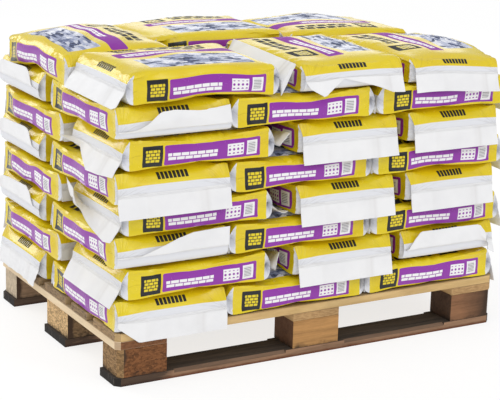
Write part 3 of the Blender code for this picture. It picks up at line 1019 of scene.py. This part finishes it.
def corner_number(g, u, v):
    """A different number at each of a sack's four corners."""
    return g.total((g.math("SIGN", u), 3.0), (g.math("SIGN", v), 7.0))


def weld_ribs(g, inward):
    """Three fine ribs that run along the weld."""
    band = g.box(inward, 0.0, (-9, 0), (-1000, 1000), 0.5)
    wave = g.math("SINE", g.times(inward, 2 * math.pi / (3 * MM)))
    return g.times(band, wave)


def film_material():
    material, g = new_material("printed_film")
    u, v, _ = g.split(g.node("ShaderNodeUVMap", uv_map="print").outputs[0])
    inward, round_end, _ = g.split(g.node("ShaderNodeUVMap", uv_map="weld").outputs[0])
    here = g.here()
    round_top = g.absolute(v)
    # Along and up a side, as someone who faces it sees them
    a = g.times(g.times(g.math("SIGN", v), -1.0), u)
    b = g.minus(SACK_WIDTH / 2 + SACK_HEIGHT, round_top)
    patches = g.noise(here, 9, 2)
    color = g.mix(g.map(patches, 0.35, 0.65), YELLOW, DEEP_YELLOW)
    on_side = g.math("GREATER_THAN", round_top, SACK_WIDTH / 2)
    on_top = g.math("LESS_THAN", round_top, SACK_WIDTH / 2)
    color = g.mix(on_side, color, side_label(g, color, a, b))
    color = g.mix(on_top, color, top_print(g, color, u, v))
    color = g.mix(on_top, color, end_print(g, color, inward, round_end))
    filled = g.map(inward, 0.0, -2 * MM)
    unprinted = g.map(on_top, 0.0, 1.0, WHITE_ON_SIDE, WHITE_ON_TOP)
    white_from = g.map(g.minus(inward, unprinted), 0.5 * MM, -0.5 * MM)
    dust = g.noise(here, 60, 3, 0.6)
    fin = g.mix(g.map(g.noise(here, 12, 2, 0.5), 0.4, 0.7), FILM_WHITE, FIN_GREY)
    white = g.mix(filled, FILLED_WHITE, fin)
    color = g.mix(white_from, color, white)
    height, lines = film_height(g, here, u, v, inward, round_top)
    # painted shade: the colour is darkened along the crease lines, by up to 30 percent of a multiply with the
    # crease shade colour
    creased = g.mix(1.0, color, PAINTED_CREASE_SHADE, "MULTIPLY")
    color = g.mix(g.times(lines, 0.30), color, creased)
    ink = g.times(on_top, g.map(g.split(color)[1], 0.30, 0.12))
    rough = g.total((g.map(dust, 0.3, 0.7, 0.18, 0.29), 1.0), (white_from, 0.34), (ink, 0.4))
    g.surface(color, rough, 0.5, height, 0.6, 4 * MM)
    return material


RUNNER_TOP = 22 * MM
BLOCK_EDGE = 0.26  # between the middle block and an outer one, anywhere in the open bay
TRODDEN = (0.16, 0.12, 0.09, 1)
WET_FOOT = (0.018, 0.013, 0.010, 1)
WORN_SIDE = (0.040, 0.023, 0.015, 1)
WORN_CORNER = (0.05, 0.028, 0.016, 1)
RED_EARTH = (0.13, 0.045, 0.018, 1)
TAR = (0.022, 0.015, 0.012, 1)
END_DARK = (0.020, 0.016, 0.014, 1)
END_SCRATCH = (0.40, 0.36, 0.30, 1)
GREY_DARK = (0.018, 0.016, 0.016, 1)
GREY_PALE = (0.085, 0.068, 0.055, 1)


def grain_shade(g, here, along, scale=1.0):
    """Growth rings and fine fibres of sawn wood whose grain runs along one axis."""
    stretch = {"X": (1.1, 16, 16), "Y": (16, 1.1, 16)}[along]
    rings = g.noise(g.scaled(here, stretch), 3.2 * scale, 5, 0.6, 0.9)
    fine = g.noise(g.scaled(here, tuple(4 * s for s in stretch)), 9 * scale, 3, 0.7)
    return g.total((rings, 0.75), (fine, 0.3))


def chip_shade(g, here):
    """Flat wood chips pressed into a block."""
    tone = g.cells(g.scaled(here, (150, 150, 260)))
    return g.total((tone, 0.5), (g.noise(here, 320, 3, 0.7), 0.55))


def between(g, shade, dark, pale):
    return g.mix(g.map(shade, 0.30, 0.70), dark, pale)


def wood_surface(g, color, shade, rough):
    g.surface(color, g.map(shade, 0.3, 0.7, rough + 0.1, rough - 0.05), 0.3, shade, 0.45, 1.2 * MM)


def board_material(name, along, pale, dark, end_pale, end_dark, grime=0.2):
    """A sawn board: long grain on its faces, darker end grain where it is cut, and grime in patches."""
    material, g = new_material(name)
    here = g.here()
    normal = g.normal()
    shade = grain_shade(g, here, along)
    face = between(g, shade, dark, pale)
    cut_shade = g.noise(g.scaled(here, (60, 60, 240)), 1.0, 3, 0.6)
    cut = between(g, cut_shade, end_dark, end_pale)
    at_end = g.map(g.absolute(normal[0 if along == "X" else 1]), 0.6, 0.8)
    color = g.mix(at_end, face, cut)
    stain = g.map(g.noise(here, 7, 4, 0.6), 0.46, 0.66, 0.0, grime)
    color = g.mix(stain, color, tuple(c * 0.3 for c in dark[:3]) + (1,))
    top = g.map(normal[2], 0.6, 0.8, 0.0, 0.45)
    color = g.mix(top, color, TRODDEN)
    wood_surface(g, color, shade, 0.75)
    return material


@dataclass
class Block:
    """The look of one block: whether it is pressed chips, and its colours on the long side and on the end."""

    chips: bool
    side: tuple
    end: tuple


def tone(red, green, blue):
    """Dark and pale versions of one wood colour."""
    middle = (red, green, blue)
    return tuple(c * 0.62 for c in middle) + (1,), tuple(min(0.9, c * 1.35) for c in middle) + (1,)


def block_color(g, block, chips, grain, at_end):
    shade = chips if block.chips else grain
    side = between(g, shade, *tone(*block.side))
    end = between(g, shade, *tone(*block.end))
    return g.mix(at_end, side, end)


def skid_material(name, blocks, runner):
    """A bottom runner under three blocks, from left to right."""
    material, g = new_material(name)
    here = g.here()
    x, y, z = g.split(here)
    normal = g.normal()
    at_end = g.map(g.absolute(normal[0]), 0.5, 0.6)
    on_side = g.minus(1.0, at_end)
    upward = g.map(normal[2], 0.6, 0.8)
    chips = chip_shade(g, here)
    grain = grain_shade(g, here, "X", 1.4)
    left, middle, right = (block_color(g, block, chips, grain, at_end) for block in blocks)
    color = g.mix(g.math("GREATER_THAN", x, -BLOCK_EDGE), left, middle)
    color = g.mix(g.math("GREATER_THAN", x, BLOCK_EDGE), color, right)
    blotch = g.noise(here, 22, 4, 0.62)
    wet = g.map(g.minus(z, g.times(blotch, 60 * MM)), 6 * MM, -14 * MM, smoothly=True)
    color = g.mix(g.times(wet, 0.85), color, WET_FOOT)
    corner = g.map(g.plus(g.absolute(x), g.times(blotch, 26 * MM)), 584 * MM, 592 * MM)
    worn = g.map(g.plus(x, g.times(blotch, 60 * MM)), 520 * MM, 610 * MM, 0.0, 0.9)
    color = g.mix(g.times(worn, on_side), color, WORN_SIDE)
    color = g.mix(g.times(corner, on_side), color, WORN_CORNER)
    wood = between(g, grain, *tone(*runner))
    low = g.map(g.plus(z, g.times(blotch, 8 * MM)), 13 * MM, 7 * MM)
    wood = g.mix(low, wood, RED_EARTH)
    stained = g.noise(g.scaled(here, (6, 20, 30)), 1.0, 4, 0.65)
    tarred = g.map(g.plus(stained, g.map(x, -420 * MM, -540 * MM, 0.0, 0.34)), 0.57, 0.74)
    wood = g.mix(g.times(tarred, 0.8), wood, TAR)
    end_scratches = g.map(g.noise(g.scaled(here, (40, 160, 14)), 1.0, 2), 0.60, 0.72, 0.0, 0.25)
    end_wood = g.mix(end_scratches, END_DARK, END_SCRATCH)
    wood = g.mix(at_end, wood, end_wood)
    grey = between(g, grain, GREY_DARK, GREY_PALE)
    wood = g.mix(upward, wood, grey)
    on_runner = g.math("LESS_THAN", z, RUNNER_TOP + 0.5 * MM)
    color = g.mix(on_runner, color, wood)
    shade = g.mix(g.times(g.minus(1.0, on_runner), 0.5), grain, chips)
    wood_surface(g, color, shade, 0.8)
    return material


# The forty-eight sacks

def node_place(name):
    """Where a sack's node is: the middle of its box in plan."""
    low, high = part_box(name)
    return (low[0] + high[0]) / 2, (low[1] + high[1]) / 2


def tucked_fin(seed):
    """Inside the load the fin is crumpled down against the next sack."""
    rng = np.random.RandomState(seed)
    turn = rng.uniform(-20, 10)
    return Fin(((-1, -86 + turn), (0, -80), (1, -92 - turn)), length=34, wave=2.0, seed=seed, floor=4)


def straight_fin(seed, length=57, half=151, outward=0):
    rng = np.random.RandomState(seed)
    hang = [(q, -86 + outward + rng.uniform(-3, 3)) for q in (-1, 0, 1)]
    reach = 13 + 0.7 * outward
    return Fin(hang, length=length, wave=1.3, seed=seed, half=half, reach=reach)


def turned_corner_fin(seed):
    rng = np.random.RandomState(seed)
    hang = ((-1, -74), (0, -80 + rng.uniform(-3, 9)), (1, -76))
    at_edge = (0.66 + rng.uniform(-0.1, 0.1), 57)
    at_side = (1, 14 + rng.uniform(0, 14))
    corner = (at_side, at_edge, -rng.uniform(120, 160))
    return Fin(hang, folds=(corner,), wave=1.8, seed=seed, reach=15)


def lifted_fin(seed):
    rng = np.random.RandomState(seed)
    low = -76 + rng.uniform(0, 10)
    high = rng.uniform(-35, 30)
    hang = ((-1, low), (-0.3, low), (0.35, mix(low, high, 0.7)), (1, high))
    curl = ((-1, 0), (1, rng.uniform(-30, 20)))
    return Fin(hang, wave=1.8, seed=seed, curl=curl)


def free_fin(seed):
    """Most free fins hang straight down, some have a turned corner or a lifted side."""
    choice = np.random.RandomState(seed + 3).rand()
    if choice < 0.2:
        return turned_corner_fin(seed)
    if choice < 0.38:
        return lifted_fin(seed)
    return straight_fin(seed, outward=9)


def default_lay(layer, number):
    rng = np.random.RandomState(100 * layer + number)
    seed = 100 * layer + number
    has_free_end = number != 2
    free = free_fin(seed) if has_free_end else tucked_fin(seed)
    seams = (28 if has_free_end else 40, 40)
    if layer == 1 and has_free_end:
        seams = (34, 40)
    yaw = rng.uniform(-0.6, 0.6)
    lay = Lay((free, tucked_fin(seed + 1)), seed, seams=seams, yaw=yaw)
    if layer == LAYERS:
        lay.sink = tuple(rng.uniform(0, 7, size=4))
        lay.crown = rng.uniform(9, 16)
        lay.shoulder = TOP_SHOULDER
    return lay


def gap_fin(seed, hang, length, curl=((0, 0),)):
    """A fin that stands in the gap between two sacks of the front row, its near side drawn out."""
    return Fin(
        hang, length=length, wave=2.2, seed=seed, curl=curl, web=(-1, 24), crumple=1.2, floor=6, reach=90,
    )


def top_lays():
    left = Fin(
        ((-1, -52), (-0.3, -54), (1, -56)), lengths=((-1, 60), (0.9, 60), (1, 52)), length=62, seed=841,
        reach=42,
    )
    right = Fin(
        ((-1, 41), (-0.5, 46), (1, 60)), folds=(((-1, 57), (-1, 0), -86),), web=(-1, 48), length=63, seed=842,
        reach=90,
    )
    middle = Fin(
        ((-1, -72), (-0.66, -70), (-0.25, -66), (0.45, -70), (1, -72)), outer=(-0.92, 1), seed=851,
        lengths=((-1, 26), (-0.72, 52), (-0.27, 5), (0.45, 38), (0.74, 55), (1, 57)), crumple=0.4, reach=20,
    )
    corner = Fin(
        ((-1, -76), (0, -76), (1, -77)), folds=(((1.0, 25), (0.55, 60), 9),), half=140, seed=861, reach=15,
        length=61,
    )
    far = Fin(((-1, -84), (0, -80), (1, -86)), seed=811, floor=2, half=144)
    middle_back = default_lay(LAYERS, 2)
    middle_back.sink = (2, 14, 3, 6)
    middle_back.crown = 5
    middle_back.flatter = 5
    right_back = default_lay(LAYERS, 3)
    right_back.sink = (22, 14, 12, 2)
    right_back.crown = 4
    right_back.flatter = 16
    return {
        "sack_8_1": Lay(
            (far, tucked_fin(812)), 81, crown=15, sink=(19, 6, 12, 6), shoulder=44, slip=25, top_slip=12,
            top_across=26,
        ),
        "sack_8_2": middle_back,
        "sack_8_3": right_back,
        "sack_8_4": Lay(
            (left, right), 84, move=(9, 0), seams=(44, 44), crown=9, sink=(2, 0, 4, 0), shoulder=34,
            top_slip=22,
        ),
        "sack_8_5": Lay(
            (middle, tucked_fin(852)), 85, move=(4, 0), seams=(38, 40), crown=4, flatter=9, shoulder=38,
            sink=(3, 5, 4, 4), end_slip=2, top_across=26,
        ),
        "sack_8_6": Lay(
            (corner, tucked_fin(862)), 86, move=(-3, 0), seams=(38, 40), crown=4, flatter=12, shoulder=42,
            sink=(22, 6, 16, 8), end_slip=3, top_across=24,
        ),
    }


def front_lays():
    up = Fin(
        ((-1, 40), (-0.62, 62), (1, 84)), folds=(((1.2, -8), (-0.26, 57), 22),), seed=711, half=160,
        lengths=((-1, 8), (-0.7, 14), (-0.5, 30), (-0.3, 56), (-0.05, 58), (0.4, 50), (0.7, 50), (1, 54)),
        crumple=0.4, wave=0.6,
    )
    stood = Fin(
        ((-1, 20), (-0.6, 70), (0, 84), (1, 88)), seed=311, crumple=0.4, half=159,
        lengths=((-1, 5), (-0.58, 9), (-0.3, 26), (0.05, 46), (0.3, 56), (1, 58)),
    )
    raised = Fin(
        ((-1, 76), (-0.8, 88), (0.6, 85), (0.76, 50), (0.86, -40), (1, -70)), seed=261, crumple=0.6,
        lengths=((-1, 6), (-0.72, 57), (0.62, 57), (0.78, 34), (1, 44)), outer=(-0.94, 1),
    )
    low_corner = Fin(
        ((0, -88),), lengths=((-1, 16), (-0.62, 62), (1, 62)), length=62, seed=111, wave=1.8, half=158,
    )
    plain = straight_fin(511, 64, half=160, outward=10)
    lays = {
        "sack_7_1": Lay((up, tucked_fin(712)), 71, seams=(24, 40), slip=25, move=(-2, 0)),
        "sack_5_1": Lay((plain, tucked_fin(512)), 51, slip=27, move=(-2, 0)),
        "sack_3_1": Lay((stood, tucked_fin(312)), 31, seams=(36, 40), slip=25, move=(-2, 0)),
        "sack_1_1": Lay((low_corner, tucked_fin(112)), 11, seams=(34, 40), slip=22, move=(-1, 0)),
        "sack_2_6": Lay((raised, tucked_fin(262)), 26, seams=(33, 40), move=(4, 0)),
    }
    for layer, number in ((6, 5), (6, 6), (4, 5), (4, 6), (2, 5)):
        seed = 100 * layer + 10 * number
        fin = straight_fin(seed + 1, length=61, half=150 if number == 5 else 140, outward=9)
        move = (0, 0) if number == 5 else (4, 0)
        lays[f"sack_{layer}_{number}"] = Lay((fin, tucked_fin(seed + 2)), seed, seams=(33, 40), move=move)
    for layer in (1, 3, 5, 7):
        for number, slip in ((2, 10), (3, 4)):
            lay = default_lay(layer, number)
            lay.slip = slip
            if layer == 1:
                lay.move = (-12, 0) if number == 3 else (-3, 0)
            lays[f"sack_{layer}_{number}"] = lay
    return lays


def end_fin(seed, layer):
    """The fin of an odd layer's sack that points out at the load's left end."""
    if layer == 1:
        return Fin(((-1, -78), (0, -84), (1, -70)), seed=seed, half=144, crumple=2.0, reach=18)
    return Fin(
        ((-1, 60), (-0.8, 80), (0.5, 88), (1, 90)), seed=seed, half=144, crumple=0.8, outer=(-1.05, 1),
        lengths=((-1, 22), (-0.86, 38), (-0.6, 49), (0.46, 53), (0.6, 40), (0.7, 6), (1, 4)), reach=16,
        bend=5,
    )


def left_lays():
    lifted = Fin(
        ((-1, 12), (-0.6, -8), (-0.4, -40), (-0.1, -60), (1, -63)), seed=641, crumple=0.9, length=64,
        lengths=((-1, 40), (-0.8, 26), (-0.5, 16), (0.05, 66), (0.5, 62), (1, 52)), outer=(-1, 0.94),
        reach=37,
    )
    twisted = Fin(
        ((-1, 76), (-0.6, 62), (-0.1, 0), (0.3, -50), (1, -63)), seed=441, crumple=0.8, length=62, reach=36,
        lengths=((-1, 62), (-0.6, 50), (-0.1, 36), (0.35, 50), (0.8, 62), (1, 56)), outer=(-1, 0.92),
    )
    slanted = Fin(
        ((-1, -62), (0, -58), (1, -62)), seed=241, length=62, reach=37, crumple=0.3, outer=(-1, 0.93),
    )
    right_up = gap_fin(642, ((-1, 35), (0, 10), (1, -60)), 57)
    right_curled = gap_fin(442, ((-1, -40), (0, -60), (1, -80)), 57, curl=((-1, 60), (1, 0)))
    right_open = gap_fin(242, ((-1, 60), (0, 0), (1, -60)), 52)
    lays = {
        "sack_6_4": Lay((lifted, right_up), 64, seams=(34, 36)),
        "sack_4_4": Lay((twisted, right_curled), 44, seams=(36, 36)),
        "sack_2_4": Lay((slanted, right_open), 24, seams=(36, 36)),
    }
    for layer in (1, 3, 5, 7):
        seed = 10 * layer + 4
        lays[f"sack_{layer}_4"] = Lay((end_fin(seed, layer), tucked_fin(seed + 100)), seed, seams=(36, 40))
    for layer, back in ((2, 2), (4, 9), (6, 14)):
        seed = 10 * layer + 1
        fins = (straight_fin(seed, half=144, outward=8), tucked_fin(seed + 200))
        lays[f"sack_{layer}_1"] = Lay(fins, seed, seams=(34, 40), slip=25, move=(0, back))
    return lays


def place_sack(layer, number, lay, material):
    bag = f"bag_{layer}_{number}"
    node = f"sack_{layer}_{number}"
    mesh = sack_mesh(bag, lay, material)
    x, y = node_place(node)
    base = DECK_TOP + GAP + (layer - 1) * LAYER_PITCH
    turn = SACK_TURNS[number] * (1 if layer % 2 else -1) + lay.yaw
    place = Matrix.Translation((x + lay.move[0] * MM, y + lay.move[1] * MM, base))
    mesh.transform(place @ Matrix.Rotation(math.radians(turn), 4, "Z"))
    sack = new_object(bag, mesh)
    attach(sack, "root")
    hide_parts(node)


def make_sacks():
    lays = {**top_lays(), **front_lays(), **left_lays()}
    material = film_material()
    for layer in range(1, LAYERS + 1):
        for number in range(1, SACKS_IN_LAYER + 1):
            lay = lays.get(f"sack_{layer}_{number}") or default_lay(layer, number)
            place_sack(layer, number, lay, material)


# The pallet

def dress(name, material):
    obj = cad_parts[name]
    obj.data.materials.clear()
    obj.data.materials.append(material)


def dress_pallet():
    deck = board_material(
        "deck_pine", "X", (0.74, 0.52, 0.24, 1), (0.52, 0.33, 0.13, 1), (0.50, 0.33, 0.17, 1),
        (0.16, 0.10, 0.055, 1),
    )
    weathered = board_material(
        "deck_weathered", "X", (0.58, 0.42, 0.24, 1), (0.30, 0.20, 0.11, 1), (0.42, 0.28, 0.15, 1),
        (0.12, 0.08, 0.05, 1), 0.4,
    )
    cream = board_material(
        "stringer_cream", "Y", (0.90, 0.73, 0.50, 1), (0.74, 0.55, 0.34, 1), (0.30, 0.13, 0.05, 1),
        (0.11, 0.04, 0.018, 1), 0.1,
    )
    stringer = board_material(
        "stringer_pine", "Y", (0.68, 0.46, 0.22, 1), (0.42, 0.26, 0.11, 1), (0.60, 0.38, 0.17, 1),
        (0.34, 0.19, 0.08, 1),
    )
    for number in range(1, 6):
        dress(f"deck_board_{number}", deck if number == 1 else weathered)
    for label, material in (("left", cream), ("middle", stringer), ("right", stringer)):
        dress(f"stringer_board_{label}", material)
    russet = Block(True, (0.17, 0.066, 0.022), (0.27, 0.16, 0.07))
    # painted shade: the end colour of this block and of the next one is a darkened copy of its side colour,
    # for the faces in the shade between the front blocks
    pale = Block(False, (0.42, 0.22, 0.078), (0.12, 0.058, 0.030))
    dark = Block(False, (0.24, 0.115, 0.055), (0.072, 0.040, 0.024))
    # painted shadow: this block's side colour is a darkened copy of its end colour, for its faces in the
    # shadow under the deck
    beige = Block(True, (0.16, 0.10, 0.05), (0.56, 0.37, 0.18))
    streaked = Block(False, (0.20, 0.13, 0.08), (0.52, 0.42, 0.30))
    plain = Block(False, (0.30, 0.18, 0.09), (0.28, 0.17, 0.09))
    dress("skid_front", skid_material("front_skid", (russet, pale, dark), (0.27, 0.155, 0.09)))
    dress("skid_middle", skid_material("middle_skid", (beige, plain, plain), (0.22, 0.13, 0.08)))
    dress("skid_back", skid_material("back_skid", (streaked, plain, russet), (0.26, 0.16, 0.10)))


# Floor, light and camera

def make_floor():
    bpy.ops.mesh.primitive_plane_add(size=40, location=(0, 0, 0))
    floor = bpy.context.object
    floor.name = "studio_floor"
    material, g = new_material("pale_floor")
    shader = g.node("ShaderNodeBsdfPrincipled")
    shader.inputs["Base Color"].default_value = (0.30, 0.30, 0.30, 1)
    shader.inputs["Roughness"].default_value = 0.9
    shader.inputs["Specular IOR Level"].default_value = 0.0
    shader.inputs["Emission Color"].default_value = (1, 1, 1, 1)
    shader.inputs["Emission Strength"].default_value = 0.74
    g.feed(g.node("ShaderNodeOutputMaterial").inputs[0], shader.outputs[0])
    floor.data.materials.append(material)


def area_light(name, size_x, power, place, target, size_y):
    light = bpy.data.lights.new(name, "AREA")
    light.energy = power
    light.shape = "RECTANGLE"
    light.size = size_x
    light.size_y = size_y
    obj = new_object(name, light)
    obj.location = place
    obj.rotation_euler = (Vector(target) - Vector(place)).to_track_quat("-Z", "Y").to_euler()


def broad_sun(name, strength, toward):
    light = bpy.data.lights.new(name, "SUN")
    light.energy = strength
    light.angle = math.radians(60)
    obj = new_object(name, light)
    obj.rotation_euler = Vector(toward).to_track_quat("Z", "Y").to_euler()


def make_lights():
    world = bpy.data.worlds.new("studio")
    bpy.context.scene.world = world
    world.use_nodes = True
    world.node_tree.nodes["Background"].inputs[0].default_value = (1, 1, 1, 1)
    world.node_tree.nodes["Background"].inputs[1].default_value = 0.64
    middle = (0, 0, 0.45)
    broad_sun("key", 0.42, (-0.6, -0.45, 1.0))
    broad_sun("fill", 0.36, (0.1, -0.6, 0.8))
    area_light("left_box", 0.6, 3, (-2.4, -0.9, 2.6), middle, 1.6)
    area_light("front_box", 0.5, 10, (0.8, -3.2, 2.9), middle, 2.0)
    area_light("back_left_box", 1.5, 34, (-1.9, 3.4, 2.0), middle, 1.8)
    area_light("back_right_box", 3.0, 13, (2.4, 4.2, 1.7), middle, 1.6)


CAMERA_PLACE = (-2.2843, -3.9801, 1.5891)
CAMERA_AZIMUTH = 60.03
CAMERA_DOWN = 15.30
CAMERA_ROLL = 1.69
CAMERA_FOCAL = 1645.6  # in pixels of an image IMAGE_WIDTH wide
IMAGE_WIDTH = 500


def make_camera():
    azimuth, down, roll = (math.radians(v) for v in (CAMERA_AZIMUTH, CAMERA_DOWN, CAMERA_ROLL))
    level = math.cos(down)
    forward = Vector((math.cos(azimuth) * level, math.sin(azimuth) * level, -math.sin(down)))
    flat_right = forward.cross(Vector((0, 0, 1))).normalized()
    flat_up = flat_right.cross(forward)
    right = math.cos(roll) * flat_right + math.sin(roll) * flat_up
    up = -math.sin(roll) * flat_right + math.cos(roll) * flat_up
    data = bpy.data.cameras.new("camera")
    data.sensor_width = 36.0
    data.lens = CAMERA_FOCAL * data.sensor_width / IMAGE_WIDTH
    data.clip_end = 50
    camera = new_object("camera", data)
    turn = Matrix((right, up, -forward)).transposed().to_4x4()
    camera.matrix_world = Matrix.Translation(CAMERA_PLACE) @ turn
    bpy.context.scene.camera = camera


bpy.context.scene.view_settings.view_transform = "Standard"
make_camera()
make_lights()
make_floor()
dress_pallet()
make_creases()
make_sacks()
